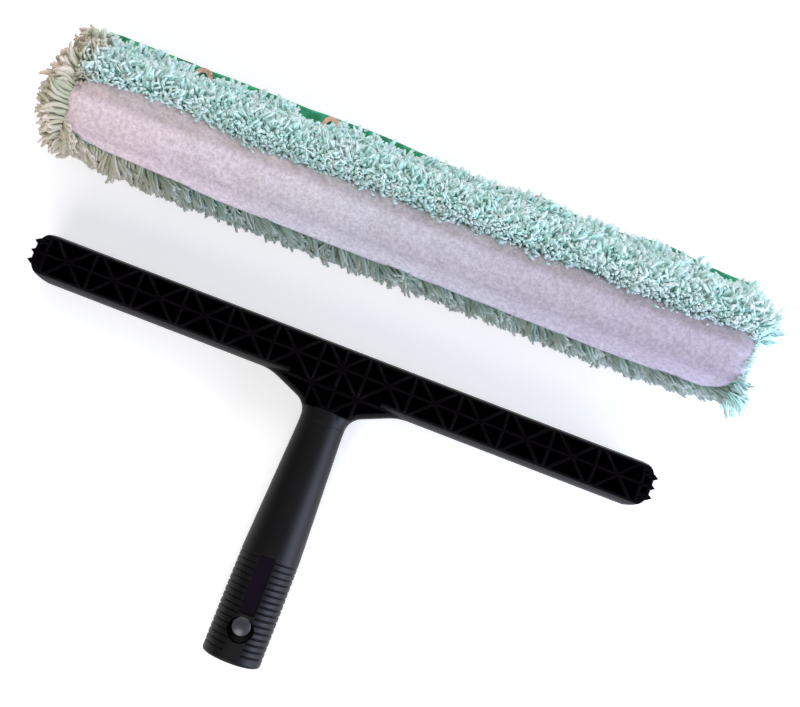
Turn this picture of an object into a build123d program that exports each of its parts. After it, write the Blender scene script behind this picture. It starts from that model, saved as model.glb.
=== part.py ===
from build123d import *
import math
import os

# Window scrubber: a T-bar with its handle, and the pile sleeve that fits over the bar.
# Lengths are in millimetres. X runs along the bar and the sleeve, the handle points to -Y,
# and +Z is up from the table that both lie on.

# Bar of the T
bar_length = 352.0
bar_height = 25.4
bar_depth = 32.0
rail_bulge = 2.3
face_bulge = 2.0
bar_corner_radius = 2.5
bar_end_flat = 7.4
end_wall = 1.6
rail_wall = 3.2

# Lattice in the bar
cell_count = 13
lattice_end = 8.3
rib_thickness = 1.4
keel_thickness = 0.9
chord_thickness = 1.5
chord_inset = 0.55
web_thickness = 2.0
web_drop = 8.5

# Teeth on the bar's ends
tooth_count = 3
tooth_pitch = 5.4
tooth_height = 2.5
tooth_base = 3.4
tooth_inset = 1.5
fin_thickness = 1.3

# Gusset and neck between the bar and the handle
gusset_reach = 37.0
gusset_drop = 10.5
gusset_depth = 23.0
gusset_rail_radius = 27.0
gusset_neck_radius = 10.0
gusset_edge_radius = 10.5
gusset_wall = 2.4
gusset_root = 13.0
neck_diameter = 25.0
neck_top_drop = 7.8
neck_shoulder = 3.0
ring_drop = 17.7
spigot_diameter = 17.0
spigot_length = 25.0
spigot_chamfer = 1.5
spigot_clearance = 0.1

# Handle grip, with the places near its end measured from that end
handle_reach = 161.5
collar_length = 5.6
collar_swell = 0.1
grip_swell_inset = 57.5
grip_swell_step = 0.25
grip_full_inset = 33.5
grip_end_radius = 1.5
core_length = 60.0
core_step = 1.0

# Socket for an extension pole in the end of the grip
socket_wall = 5.5
socket_length = 56.0
socket_chamfer = 0.8

# Rib grooves round the grip
groove_count = 16
groove_pitch = 3.3
groove_inset = 55.0
groove_width = 1.3
groove_depth = 0.8
groove_land = 8.8

# Strip that covers the button's spring
cover_length = 31.0
cover_hole_gap = 1.3
cover_width = 8.4
cover_thickness = 0.9
cover_seat_depth = 1.8
cover_corner_radius = 0.8
cover_clearance = 0.1

# Release button, its leaf spring and the rivet at the spring's foot
button_hole_inset = 17.7
button_hole_diameter = 14.0
button_diameter = 9.6
button_gap = 0.3
button_proud = 1.0
button_dome = 1.1
spring_pocket_width = 6.6
spring_pocket_depth = 4.4
spring_pocket_margin = 2.5
spring_width = 5.6
spring_thickness = 0.5
spring_foot_length = 7.5
spring_rise = 1.8
spring_pad_diameter = 8.4
rivet_diameter = 2.0
rivet_head_diameter = 4.0
rivet_head_height = 0.9
rivet_depth = 0.8
rivet_clearance = 0.05

# Sleeve: its place beside the bar, the room in its pocket, and its walls of pile
sleeve_gap = 42.3
bar_shift = 5.5
pocket_fit = 2.0
pocket_slack = 8.1
pocket_end_room = 7.5
pocket_floor = 8.0
pocket_roof = 10.0
pocket_front_wall = 10.5
pocket_back_wall = 10.0
pocket_corner_radius = 9.0
pile_radius = 18.0
pile_end = 10.5
lining_thickness = 1.5
lining_end = 6.0

# Mouth of the sleeve and its two lips
mouth_gap = 10.0
lip_root = 6.5
lip_length = 16.0
lip_root_radius = 4.0
binding_thickness = 1.0
binding_clearance = 0.5

# Scrub band
band_recess = 3.0
band_top_edge = 6.5
band_front_edge = 30.0
band_corner_radius = 8.0

# Snaps on the lips
snap_inner_pitch = 117.0
snap_outer_pitch = 264.0
snap_inset = 5.8
ring_diameter = 10.4
ring_eye_diameter = 5.0
ring_shank_diameter = 6.0
ring_thickness = 0.8
ring_roll = 0.3
socket_disc_diameter = 10.0
socket_disc_thickness = 1.5
socket_disc_hole = 4.2
stud_base_diameter = 9.6
stud_base_thickness = 0.8
stud_knob_diameter = 3.9
stud_knob_height = 1.8
stud_knob_round = 0.6
post_shank_diameter = 2.6
snap_clearance = 0.1

# Overrun of every cut, and the tolerance for picking an edge by its place
overrun = 2.0
pick = 0.05

# Places worked out from the sizes above
grip_diameter = bar_depth
grip_radius = grip_diameter / 2
socket_radius = grip_radius - socket_wall
cover_seat = grip_radius - cover_seat_depth
spring_pocket_floor = grip_radius - spring_pocket_depth
bar_face_height = bar_height - 2 * rail_bulge
bar_side_depth = bar_depth - 2 * face_bulge
bar_end_radius = (bar_height - bar_end_flat) / 2
tooth_depth = bar_depth - 2 * tooth_inset
neck_top = bar_height / 2 + neck_top_drop
ring_reach = bar_height / 2 + ring_drop
pocket_depth = bar_depth + pocket_fit
pocket_width = bar_height + pocket_slack
pocket_length = bar_length + 2 * pocket_end_room
lining_length = pocket_length + 2 * lining_end
sleeve_height = pocket_floor + pocket_depth + pocket_roof
pile_width = pocket_front_wall + pocket_width + pocket_back_wall
sleeve_depth = pile_width + lip_length
overall_depth = handle_reach + bar_height / 2 + sleeve_gap + sleeve_depth
bar_x = -bar_shift
bar_y = handle_reach - overall_depth / 2
bar_z = bar_depth / 2
sleeve_front = bar_y + bar_height / 2 + sleeve_gap
mouth_z = sleeve_height / 2
bar_body_length = bar_length - 2 * tooth_height
lattice_length = bar_length - 2 * lattice_end
cell_pitch = lattice_length / cell_count
band_height = bar_height - 2 * rail_wall
chord_y = chord_inset - bar_height / 2
chord_top = chord_y + chord_thickness / 2
chord_bottom = chord_y - chord_thickness / 2
neck_radius = neck_diameter / 2
gusset_foot = -bar_height / 2 - gusset_drop
button_hole_reach = handle_reach - button_hole_inset
cover_start = button_hole_reach - button_hole_diameter / 2 - cover_hole_gap - cover_length
groove_first = handle_reach - groove_inset

bar_plane = Plane((bar_x, bar_y, bar_z))
bar_section = Plane((bar_x, bar_y, bar_z), x_dir=(0, 1, 0), z_dir=(1, 0, 0))
handle_axis = Axis((bar_x, bar_y, bar_z), (0, 1, 0))
sleeve_section = Plane((0, sleeve_front, 0), x_dir=(0, 1, 0), z_dir=(1, 0, 0))

os.makedirs("parts", exist_ok=True)


def write(block, name):
    """Labels a finished piece and writes it under its own name."""
    block.part.label = name
    export_step(block.part, f"parts/{name}.step")


def rib(start, end, thickness):
    """Takes a straight rib's strip out of the pockets, so that the rib stays standing."""
    run = Vector(*end) - Vector(*start)
    middle = (Vector(*end) + Vector(*start)) / 2
    angle = math.degrees(math.atan2(run.Y, run.X))
    with Locations((middle.X, middle.Y)):
        Rectangle(run.length, thickness, rotation=angle, mode=Mode.SUBTRACT)


# Gusset outline, seen from the front, with its top inside the bar
gusset_points = [
    (gusset_reach + gusset_root, 0),
    (gusset_reach + gusset_root, -bar_height / 2),
    (gusset_reach, -bar_height / 2),
    (neck_radius, gusset_foot),
    (neck_radius, -ring_reach),
    (-neck_radius, -ring_reach),
    (-neck_radius, gusset_foot),
    (-gusset_reach, -bar_height / 2),
    (-gusset_reach - gusset_root, -bar_height / 2),
    (-gusset_reach - gusset_root, 0),
]
gusset_radii = [
    0,
    0,
    gusset_rail_radius,
    gusset_neck_radius,
    0,
    0,
    gusset_neck_radius,
    gusset_rail_radius,
    0,
    0,
]
with BuildSketch(bar_plane) as gusset_outline:
    with BuildLine():
        FilletPolyline(*gusset_points, radius=gusset_radii, close=True)
    make_face()

# Space inside the gusset, below the chord and above the neck
gusset_void_height = neck_top + neck_shoulder + chord_bottom
with BuildSketch(bar_plane) as gusset_void:
    add(gusset_outline.sketch_local)
    offset(amount=-gusset_wall)
    with Locations((0, chord_bottom - gusset_void_height / 2)):
        Rectangle(2 * gusset_reach, gusset_void_height, mode=Mode.INTERSECT)

# Pockets of the whole lattice: the band between the rails, less every rib
half_cells = (cell_count - 1) / 2
cell_centres = [(index - half_cells) * cell_pitch for index in range(cell_count)]
cell_walls = [(index - half_cells - 1 / 2) * cell_pitch for index in range(cell_count + 1)]
apex = (0, -bar_height)
half_height = bar_height / 2
half_pitch = cell_pitch / 2
end_void_length = bar_body_length - 2 * end_wall
with BuildSketch(bar_plane) as lattice_voids:
    RectangleRounded(end_void_length, band_height, bar_end_radius - end_wall)
    with Locations((0, chord_top / 2)):
        Rectangle(2 * cell_pitch, -chord_top)
    add(gusset_void.sketch_local)
    rib((-lattice_length / 2, 0), (lattice_length / 2, 0), keel_thickness)
    for centre in cell_centres:
        rib((centre - half_pitch, half_height), (centre + half_pitch, -half_height), rib_thickness)
        rib((centre - half_pitch, -half_height), (centre + half_pitch, half_height), rib_thickness)
    for wall in cell_walls:
        rib((wall, half_height), (wall, -half_height), rib_thickness)
    for side in (-1, 1):
        rib((side * half_pitch, -half_height), (side * half_pitch, -2 * half_height), rib_thickness)
        rib((side * half_pitch, -half_height), apex, rib_thickness)
        for index in range(tooth_count):
            level = (index - (tooth_count - 1) / 2) * tooth_pitch
            rib((side * lattice_length / 2, level), (side * bar_length / 2, level), fin_thickness)
    rib((0, half_height), apex, rib_thickness)

# One moulding: lattice bar with its web, gusset, neck, and the spigot that the grip takes
with BuildPart() as t_bar_head:
    extrude(gusset_outline.sketch, amount=gusset_depth / 2, both=True)
    rim = t_bar_head.edges().filter_by(Axis.Z, reverse=True)
    rim = rim.filter_by(lambda edge: abs(abs(edge.center().Z - bar_z) - gusset_depth / 2) < pick)
    rim_low = bar_y - ring_reach + pick
    rim_high = bar_y - half_height + pick
    rim = rim.filter_by(lambda edge: rim_low < edge.center().Y < rim_high)
    fillet(rim, gusset_edge_radius)
    with BuildSketch(bar_section):
        with BuildLine():
            face_y = bar_face_height / 2
            side_z = bar_side_depth / 2
            ThreePointArc((-face_y, side_z), (0, bar_depth / 2), (face_y, side_z))
            ThreePointArc((face_y, side_z), (half_height, 0), (face_y, -side_z))
            ThreePointArc((face_y, -side_z), (0, -bar_depth / 2), (-face_y, -side_z))
            ThreePointArc((-face_y, -side_z), (-half_height, 0), (-face_y, side_z))
        section = make_face()
        fillet(section.vertices(), bar_corner_radius)
    extrude(amount=bar_body_length / 2, both=True)
    with BuildSketch(bar_plane):
        Rectangle(bar_body_length + overrun, bar_height + overrun)
        RectangleRounded(bar_body_length, bar_height, bar_end_radius, mode=Mode.SUBTRACT)
        Rectangle(bar_body_length - 2 * bar_end_radius, bar_height + overrun, mode=Mode.SUBTRACT)
    extrude(amount=bar_depth, both=True, mode=Mode.SUBTRACT)
    with BuildSketch(bar_plane):
        for side in (-1, 1):
            for index in range(tooth_count):
                level = (index - (tooth_count - 1) / 2) * tooth_pitch
                root = side * (bar_body_length / 2 - overrun / 2)
                Polygon(
                    (root, level - tooth_base / 2),
                    (side * bar_body_length / 2, level - tooth_base / 2),
                    (side * bar_length / 2, level),
                    (side * bar_body_length / 2, level + tooth_base / 2),
                    (root, level + tooth_base / 2),
                    align=None,
                )
    extrude(amount=tooth_depth / 2, both=True)
    for side in (-1, 1):
        with BuildSketch(bar_plane.offset(side * web_thickness / 2 - web_drop)):
            add(lattice_voids.sketch_local)
        extrude(amount=side * bar_depth, mode=Mode.SUBTRACT)
    with BuildSketch(bar_plane):
        with BuildLine():
            spigot_radius = spigot_diameter / 2
            spigot_tip = -ring_reach - spigot_length
            Polyline(
                (0, -neck_top),
                (neck_radius - neck_shoulder, -neck_top),
                (neck_radius, -neck_top - neck_shoulder),
                (neck_radius, -ring_reach),
                (spigot_radius, -ring_reach),
                (spigot_radius, spigot_tip + spigot_chamfer),
                (spigot_radius - spigot_chamfer, spigot_tip),
                (0, spigot_tip),
                close=True,
            )
        make_face()
    revolve(axis=handle_axis)
write(t_bar_head, "t_bar_head")

# Rib grooves: rings round the grip, less the smooth land along its top
collar_radius = neck_radius + collar_swell
with BuildPart() as groove_cutter:
    with BuildSketch(bar_plane):
        for index in range(groove_count):
            groove_y = -groove_first - index * groove_pitch
            Polygon(
                (grip_radius + groove_depth, groove_y - groove_width),
                (grip_radius - groove_depth, groove_y),
                (grip_radius + groove_depth, groove_y + groove_width),
                align=None,
            )
    revolve(axis=handle_axis)
    with BuildSketch(bar_plane):
        with Locations((0, -(groove_first + handle_reach) / 2)):
            Rectangle(groove_land, handle_reach)
    extrude(amount=bar_depth, mode=Mode.SUBTRACT)

button_y = -button_hole_reach + button_hole_diameter / 2 - button_diameter / 2 - button_gap
spring_foot_start = -cover_start - spring_pocket_margin - rivet_clearance
rivet_y = spring_foot_start - spring_foot_length / 2
spring_seat = bar_plane.offset(spring_pocket_floor)

# Grip: tapered tube with the pole socket, grooves, cover recess, spring pocket and button hole
with BuildPart() as handle_grip:
    with BuildSketch(bar_plane):
        with BuildLine():
            core_radius = spigot_radius + spigot_clearance
            Polyline(
                (core_radius, -ring_reach),
                (neck_radius, -ring_reach),
                (collar_radius, -ring_reach - collar_length),
                (grip_radius - grip_swell_step, -handle_reach + grip_swell_inset),
                (grip_radius, -handle_reach + grip_full_inset),
                (grip_radius, -handle_reach + grip_end_radius),
                (grip_radius - grip_end_radius / 3, -handle_reach + grip_end_radius / 3),
                (grip_radius - grip_end_radius, -handle_reach),
                (socket_radius + socket_chamfer, -handle_reach),
                (socket_radius, -handle_reach + socket_chamfer),
                (socket_radius, -handle_reach + socket_length),
                (socket_radius - core_step, -handle_reach + socket_length),
                (core_radius, -core_length),
                close=True,
            )
        make_face()
    revolve(axis=handle_axis)
    add(groove_cutter.part, mode=Mode.SUBTRACT)
    with BuildSketch(bar_plane.offset(cover_seat)):
        with Locations((0, -cover_start - cover_length / 2)):
            fit = 2 * cover_clearance
            RectangleRounded(cover_width + fit, cover_length + fit, cover_corner_radius + cover_clearance)
    extrude(amount=grip_radius, mode=Mode.SUBTRACT)
    with BuildSketch(spring_seat):
        channel_start = -cover_start - spring_pocket_margin
        channel_length = button_hole_reach + channel_start
        with Locations((0, channel_start - channel_length / 2)):
            Rectangle(spring_pocket_width, channel_length)
    extrude(amount=cover_seat - spring_pocket_floor, mode=Mode.SUBTRACT)
    with BuildSketch(bar_plane):
        with Locations((0, -button_hole_reach)):
            Circle(button_hole_diameter / 2)
    extrude(amount=bar_depth, mode=Mode.SUBTRACT)
    with BuildSketch(spring_seat):
        with Locations((0, rivet_y)):
            Circle(rivet_diameter / 2 + rivet_clearance)
    extrude(amount=-rivet_depth, mode=Mode.SUBTRACT)
write(handle_grip, "handle_grip")

# Flat strip that closes the spring pocket, seated on the recess's two ledges
with BuildPart() as spring_cover:
    with BuildSketch(bar_plane.offset(cover_seat)):
        with Locations((0, -cover_start - cover_length / 2)):
            RectangleRounded(cover_width, cover_length, cover_corner_radius)
    extrude(amount=cover_thickness)
write(spring_cover, "spring_cover")

# Leaf spring: flat foot on the pocket floor, a ramp, and the round pad under the button
pad_radius = spring_pad_diameter / 2
pad_start = button_y + pad_radius
pad_end = button_y - pad_radius
foot_end = spring_foot_start - spring_foot_length
with BuildPart() as button_spring:
    with BuildSketch(bar_section):
        low = spring_pocket_floor
        high = spring_pocket_floor + spring_rise
        Polygon(
            (spring_foot_start, low),
            (foot_end, low),
            (pad_start, high),
            (pad_end, high),
            (pad_end, high + spring_thickness),
            (pad_start, high + spring_thickness),
            (foot_end, low + spring_thickness),
            (spring_foot_start, low + spring_thickness),
            align=None,
        )
    extrude(amount=pad_radius, both=True)
    with BuildSketch(spring_seat):
        arm_length = spring_foot_start - button_y
        with Locations((0, spring_foot_start - arm_length / 2)):
            Rectangle(spring_width, arm_length)
        with Locations((0, button_y)):
            Circle(pad_radius)
        with Locations((0, rivet_y)):
            Circle(rivet_diameter / 2 + rivet_clearance, mode=Mode.SUBTRACT)
    extrude(amount=bar_depth, mode=Mode.INTERSECT)
write(button_spring, "button_spring")

# Rivet through the spring's foot into the pocket floor
with BuildPart() as spring_rivet:
    shank_depth = rivet_depth - rivet_clearance
    with BuildSketch(spring_seat.offset(-shank_depth)):
        with Locations((0, rivet_y)):
            Circle(rivet_diameter / 2)
    extrude(amount=shank_depth + spring_thickness)
    with BuildSketch(spring_seat.offset(spring_thickness)):
        with Locations((0, rivet_y)):
            Circle(rivet_head_diameter / 2)
    extrude(amount=rivet_head_height)
    chamfer(spring_rivet.faces().sort_by(Axis.Z)[-1].edges(), rivet_head_height / 2)
write(spring_rivet, "spring_rivet")

# Domed release button on the spring's pad
button_base = spring_pocket_floor + spring_rise + spring_thickness
button_top = grip_radius + button_proud
with BuildPart() as lock_button:
    with BuildSketch(Plane((bar_x, bar_y + button_y, bar_z), x_dir=(1, 0, 0), z_dir=(0, -1, 0))):
        with BuildLine():
            button_radius = button_diameter / 2
            shoulder = button_top - button_dome
            Polyline((0, button_base), (button_radius, button_base), (button_radius, shoulder))
            ThreePointArc((button_radius, shoulder), (0, button_top), (-button_radius, shoulder))
            Polyline((-button_radius, shoulder), (-button_radius, button_base), (0, button_base))
        make_face()
        with Locations((button_radius, button_base)):
            Rectangle(button_diameter, bar_depth, mode=Mode.INTERSECT)
    revolve(axis=Axis((bar_x, bar_y + button_y, bar_z), (0, 0, 1)))
write(lock_button, "lock_button")

# Sections of an end: how far out each lies and how far it is drawn in, as shares of its length
end_section_shares = ((0, 0), (0.4, 0.1), (0.8, 0.4), (1, 0.8))

# Sleeve sections, seen along X from the front wall of the pile
pocket_top = pocket_floor + pocket_depth
pocket_back = pocket_front_wall + pocket_width
lip_root_y = pocket_back + lip_root
upper_lip_z = mouth_z + mouth_gap / 2
lower_lip_z = mouth_z - mouth_gap / 2
lining_tip = sleeve_depth - binding_thickness
pocket_points = [
    (lining_tip, upper_lip_z),
    (lip_root_y, upper_lip_z),
    (pocket_back, pocket_top),
    (pocket_front_wall, pocket_top),
    (pocket_front_wall, pocket_floor),
    (pocket_back, pocket_floor),
    (lip_root_y, lower_lip_z),
    (lining_tip, lower_lip_z),
]
pocket_radii = [
    0,
    lip_root_radius,
    pocket_corner_radius,
    pocket_corner_radius,
    pocket_corner_radius,
    pocket_corner_radius,
    lip_root_radius,
    0,
]
with BuildSketch(sleeve_section) as pocket_face:
    with BuildLine():
        FilletPolyline(*pocket_points, radius=pocket_radii, close=True)
    make_face()
with BuildSketch(sleeve_section) as lining_face:
    add(pocket_face.sketch_local)
    offset(amount=lining_thickness)
    with Locations((lining_tip / 2, mouth_z)):
        Rectangle(lining_tip, sleeve_height, mode=Mode.INTERSECT)
with BuildSketch(sleeve_section) as pile_face:
    with Locations((pile_width / 2, mouth_z)):
        RectangleRounded(pile_width, sleeve_height, pile_radius)

# Corners of the fan that shares the pile out between the upper pile, the band and the lower pile
fan_centre = (pile_width / 2, mouth_z)
band_top_y = pile_width / 2 + band_top_edge
top_corner = (band_top_y, sleeve_height)
front_corner = (0, band_front_edge)

snap_y = sleeve_depth - snap_inset
snap_plane = Plane((0, sleeve_front + snap_y, 0))
snap_places = [
    (-snap_outer_pitch / 2, 0),
    (-snap_inner_pitch / 2, 0),
    (snap_inner_pitch / 2, 0),
    (snap_outer_pitch / 2, 0),
]
upper_binding_top = upper_lip_z + lining_thickness + binding_thickness
upper_binding_low = upper_lip_z - binding_thickness
lower_binding_top = lower_lip_z + binding_thickness
lower_binding_low = lower_lip_z - lining_thickness - binding_thickness
ring_hole_radius = ring_shank_diameter / 2 + snap_clearance
post_hole_radius = post_shank_diameter / 2 + snap_clearance


def snap_holes(low, radius):
    """Cuts the four snap holes upwards from a level."""
    with BuildSketch(snap_plane.offset(low)) as holes:
        with Locations(*snap_places):
            Circle(radius)
    extrude(holes.sketch, amount=mouth_gap, mode=Mode.SUBTRACT)


# Canvas pocket, closed at both ends and open along the mouth
with BuildPart() as sleeve_lining:
    extrude(lining_face.sketch, amount=lining_length / 2, both=True)
    extrude(pocket_face.sketch, amount=pocket_length / 2, both=True, mode=Mode.SUBTRACT)
    snap_holes(upper_lip_z - overrun, ring_hole_radius)
    snap_holes(lower_lip_z - mouth_gap + overrun, post_hole_radius)
write(sleeve_lining, "sleeve_lining")

# Pile above the band, from the band's top edge to the upper lip
with BuildPart() as upper_pile:
    with BuildSketch(sleeve_section):
        add(pile_face.sketch_local)
        add(lining_face.sketch_local, mode=Mode.SUBTRACT)
        Polygon(
            fan_centre,
            top_corner,
            (sleeve_depth, sleeve_height),
            (sleeve_depth, mouth_z),
            align=None,
            mode=Mode.INTERSECT,
        )
    extrude(amount=lining_length / 2, both=True)
write(upper_pile, "upper_pile")

# Pile below the band, round the front and underneath to the lower lip
with BuildPart() as lower_pile:
    with BuildSketch(sleeve_section):
        add(pile_face.sketch_local)
        add(lining_face.sketch_local, mode=Mode.SUBTRACT)
        Polygon(
            fan_centre,
            (sleeve_depth, mouth_z),
            (sleeve_depth, 0),
            (0, 0),
            front_corner,
            align=None,
            mode=Mode.INTERSECT,
        )
    extrude(amount=lining_length / 2, both=True)
write(lower_pile, "lower_pile")

# Scrub band over the front top edge, a little lower than the pile, with rounded corners
with BuildPart() as scrub_band:
    with BuildSketch(sleeve_section):
        add(pile_face.sketch_local)
        offset(amount=-band_recess)
        add(lining_face.sketch_local, mode=Mode.SUBTRACT)
        Polygon(fan_centre, top_corner, (0, sleeve_height), front_corner, align=None, mode=Mode.INTERSECT)
    extrude(amount=lining_length / 2, both=True)
    with BuildSketch(Plane((0, sleeve_front, 0))):
        with Locations((0, band_top_y - pile_width)):
            RectangleRounded(lining_length, 2 * pile_width, band_corner_radius)
    extrude(amount=sleeve_height, mode=Mode.INTERSECT)
    with BuildSketch(Plane.XZ.offset(-sleeve_front)):
        with Locations((0, band_front_edge + sleeve_height)):
            RectangleRounded(lining_length, 2 * sleeve_height, band_corner_radius)
    extrude(amount=-pile_width, mode=Mode.INTERSECT)
write(scrub_band, "scrub_band")

# Pile over the sleeve's two ends, drawn in like half a cushion
for side, name in ((-1, "left_end_pile"), (1, "right_end_pile")):
    with BuildPart() as end_pile:
        for reach_share, inset_share in end_section_shares:
            with BuildSketch(sleeve_section.offset(side * (lining_length / 2 + reach_share * pile_end))):
                add(pile_face.sketch_local)
                offset(amount=-inset_share * pile_end)
        loft(ruled=True)
    write(end_pile, name)

# Tape folded round the edge of each lip, as far as the closed ends of the pocket
tape_width = lip_length - binding_clearance
tape_height = lining_thickness + 2 * binding_thickness
tape_length = pocket_length - 2 * binding_clearance
for name, middle, hole_radius in (
    ("upper_lip_binding", (upper_binding_top + upper_binding_low) / 2, ring_hole_radius),
    ("lower_lip_binding", (lower_binding_top + lower_binding_low) / 2, post_hole_radius),
):
    with BuildPart() as lip_binding:
        with BuildSketch(sleeve_section):
            with Locations((sleeve_depth - tape_width / 2, middle)):
                Rectangle(tape_width, tape_height)
            with Locations((sleeve_depth - binding_thickness - tape_width / 2, middle)):
                Rectangle(tape_width, lining_thickness, mode=Mode.SUBTRACT)
        extrude(amount=tape_length / 2, both=True)
        snap_holes(middle - mouth_gap / 2, hole_radius)
    write(lip_binding, name)

# Rings on the upper lip, with shanks through to the sockets
with BuildPart() as snap_rings:
    with BuildSketch(snap_plane.offset(upper_binding_low)):
        with Locations(*snap_places):
            Circle(ring_shank_diameter / 2)
    extrude(amount=tape_height)
    with BuildSketch(snap_plane.offset(upper_binding_top)):
        with Locations(*snap_places):
            Circle(ring_diameter / 2)
    extrude(amount=ring_thickness)
    chamfer(snap_rings.faces().filter_by(Axis.Z).group_by(Axis.Z)[-1].edges(), ring_roll)
    with BuildSketch(snap_plane.offset(upper_binding_low)):
        with Locations(*snap_places):
            Circle(ring_eye_diameter / 2)
    extrude(amount=tape_height + ring_thickness, mode=Mode.SUBTRACT)
write(snap_rings, "snap_rings")

# Sockets under the upper lip
with BuildPart() as snap_sockets:
    with BuildSketch(snap_plane.offset(upper_binding_low)):
        with Locations(*snap_places):
            Circle(socket_disc_diameter / 2)
            Circle(socket_disc_hole / 2, mode=Mode.SUBTRACT)
    extrude(amount=-socket_disc_thickness)
write(snap_sockets, "snap_sockets")

# Studs on the lower lip, which click into the sockets
with BuildPart() as snap_studs:
    with BuildSketch(snap_plane.offset(lower_binding_top)):
        with Locations(*snap_places):
            Circle(stud_base_diameter / 2)
    extrude(amount=stud_base_thickness)
    with BuildSketch(snap_plane.offset(lower_binding_top + stud_base_thickness)):
        with Locations(*snap_places):
            Circle(stud_knob_diameter / 2)
    extrude(amount=stud_knob_height)
    chamfer(snap_studs.faces().filter_by(Axis.Z).group_by(Axis.Z)[-1].edges(), stud_knob_round)
write(snap_studs, "snap_studs")

# Post caps under the lower lip, with shanks up to the studs
with BuildPart() as snap_posts:
    with BuildSketch(snap_plane.offset(lower_binding_low)):
        with Locations(*snap_places):
            Circle(ring_diameter / 2)
    extrude(amount=-ring_thickness)
    with BuildSketch(snap_plane.offset(lower_binding_low)):
        with Locations(*snap_places):
            Circle(post_shank_diameter / 2)
    extrude(amount=tape_height)
write(snap_posts, "snap_posts")
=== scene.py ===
import math

import bmesh
import bpy
import numpy as np
from mathutils import Matrix, Vector


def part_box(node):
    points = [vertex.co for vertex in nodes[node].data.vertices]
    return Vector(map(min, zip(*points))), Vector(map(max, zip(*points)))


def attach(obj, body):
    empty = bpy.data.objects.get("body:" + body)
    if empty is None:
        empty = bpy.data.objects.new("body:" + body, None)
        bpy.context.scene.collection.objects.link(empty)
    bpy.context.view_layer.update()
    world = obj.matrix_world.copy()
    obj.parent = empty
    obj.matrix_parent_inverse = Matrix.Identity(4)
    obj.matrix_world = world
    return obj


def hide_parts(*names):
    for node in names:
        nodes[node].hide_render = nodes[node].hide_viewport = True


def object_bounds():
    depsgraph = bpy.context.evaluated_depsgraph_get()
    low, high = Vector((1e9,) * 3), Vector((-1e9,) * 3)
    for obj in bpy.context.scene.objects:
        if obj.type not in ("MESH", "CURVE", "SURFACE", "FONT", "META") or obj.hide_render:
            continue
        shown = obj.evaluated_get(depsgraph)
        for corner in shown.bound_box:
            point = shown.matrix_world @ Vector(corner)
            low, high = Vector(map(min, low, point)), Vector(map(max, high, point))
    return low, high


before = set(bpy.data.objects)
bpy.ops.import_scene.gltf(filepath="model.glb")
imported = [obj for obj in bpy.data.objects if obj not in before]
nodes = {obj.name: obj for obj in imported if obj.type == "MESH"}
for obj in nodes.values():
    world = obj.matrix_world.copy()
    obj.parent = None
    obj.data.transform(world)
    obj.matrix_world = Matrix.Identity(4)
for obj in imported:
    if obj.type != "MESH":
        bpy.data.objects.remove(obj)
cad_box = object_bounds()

# Window scrubber: the black T-bar and, beside it, its washing sleeve of mint pile.
# Lengths are in metres, and MM turns millimetres into them.
MM = 0.001
random = np.random.default_rng(11)

# Places taken from the frame
bar_low, bar_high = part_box("t_bar_head")
pile_low, pile_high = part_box("lower_pile")
ring_low, ring_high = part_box("snap_rings")
tape_low, tape_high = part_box("upper_lip_binding")
under_low, under_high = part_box("lower_lip_binding")

sleeve_front = pile_low.y
sleeve_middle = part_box("upper_pile")[1].z / 2
half_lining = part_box("sleeve_lining")[1].x
half_pocket = tape_high.x


# Colours and shader nodes

# The length after which a wave texture of scale 1 repeats
wave_period = 0.314


def colour(code):
    """An sRGB hex value as the linear colour that a shader takes."""
    shares = [int(code[place:place + 2], 16) / 255 for place in (1, 3, 5)]
    return (*[x / 12.92 if x <= 0.04045 else ((x + 0.055) / 1.055) ** 2.4 for x in shares], 1)


def add_node(material, kind, inputs=None, stops=None, **settings):
    """Adds a shader node with its settings, its colour stops, and its inputs as values or links."""
    made = material.node_tree.nodes.new(kind)
    for name, value in settings.items():
        setattr(made, name, value)
    for place, code in stops or ():
        stop = made.color_ramp.elements.new(place)
        stop.color = colour(code)
    if stops:
        made.color_ramp.elements.remove(made.color_ramp.elements[0])
        made.color_ramp.elements.remove(made.color_ramp.elements[-1])
    for name, value in (inputs or {}).items():
        if isinstance(value, bpy.types.NodeSocket):
            material.node_tree.links.new(value, made.inputs[name])
        else:
            made.inputs[name].default_value = value
    return made


def start_material(name):
    """An empty material, and the object coordinates that its patterns follow."""
    material = bpy.data.materials.new(name)
    material.use_nodes = True
    material.node_tree.nodes.clear()
    return material, add_node(material, "ShaderNodeTexCoord").outputs["Object"]


def finish_material(material, shader):
    """Links the shader to the material's output."""
    add_node(material, "ShaderNodeOutputMaterial", {"Surface": shader.outputs[0]})
    return material


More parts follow.
